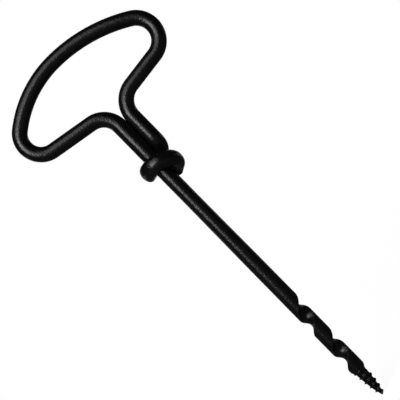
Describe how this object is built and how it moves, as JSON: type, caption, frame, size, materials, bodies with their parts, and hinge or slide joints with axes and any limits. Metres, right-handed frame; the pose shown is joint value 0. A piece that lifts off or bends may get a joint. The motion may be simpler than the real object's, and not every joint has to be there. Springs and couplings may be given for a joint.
{
  "type": "gimlet",
  "caption": "Hand boring tool bent from blackened steel rod, with a closed finger loop, a wrapped neck, a plain shank, a twisted half-round bit and a tapered lead screw.",
  "frame": {"origin": "the point of the lead screw, on the axis of the bit", "axes": "+Z along the bit axis from the point up to the handle, X across the finger loop with +X to the side of the second leg, -Y towards the front that the picture shows"},
  "size_m": [0.0578, 0.0136, 0.1427],
  "materials": {
    "rod_steel": "semi-gloss black over forged steel rod",
    "bit_steel": "blackened steel, satin, a little duller than the handle"
  },
  "bodies": {
    "root": {"lead_screw": "bit_steel", "twist_body": "bit_steel", "shank": "rod_steel", "handle_loop": "rod_steel", "binding_wrap": "rod_steel"}
  },
  "joints": []
}
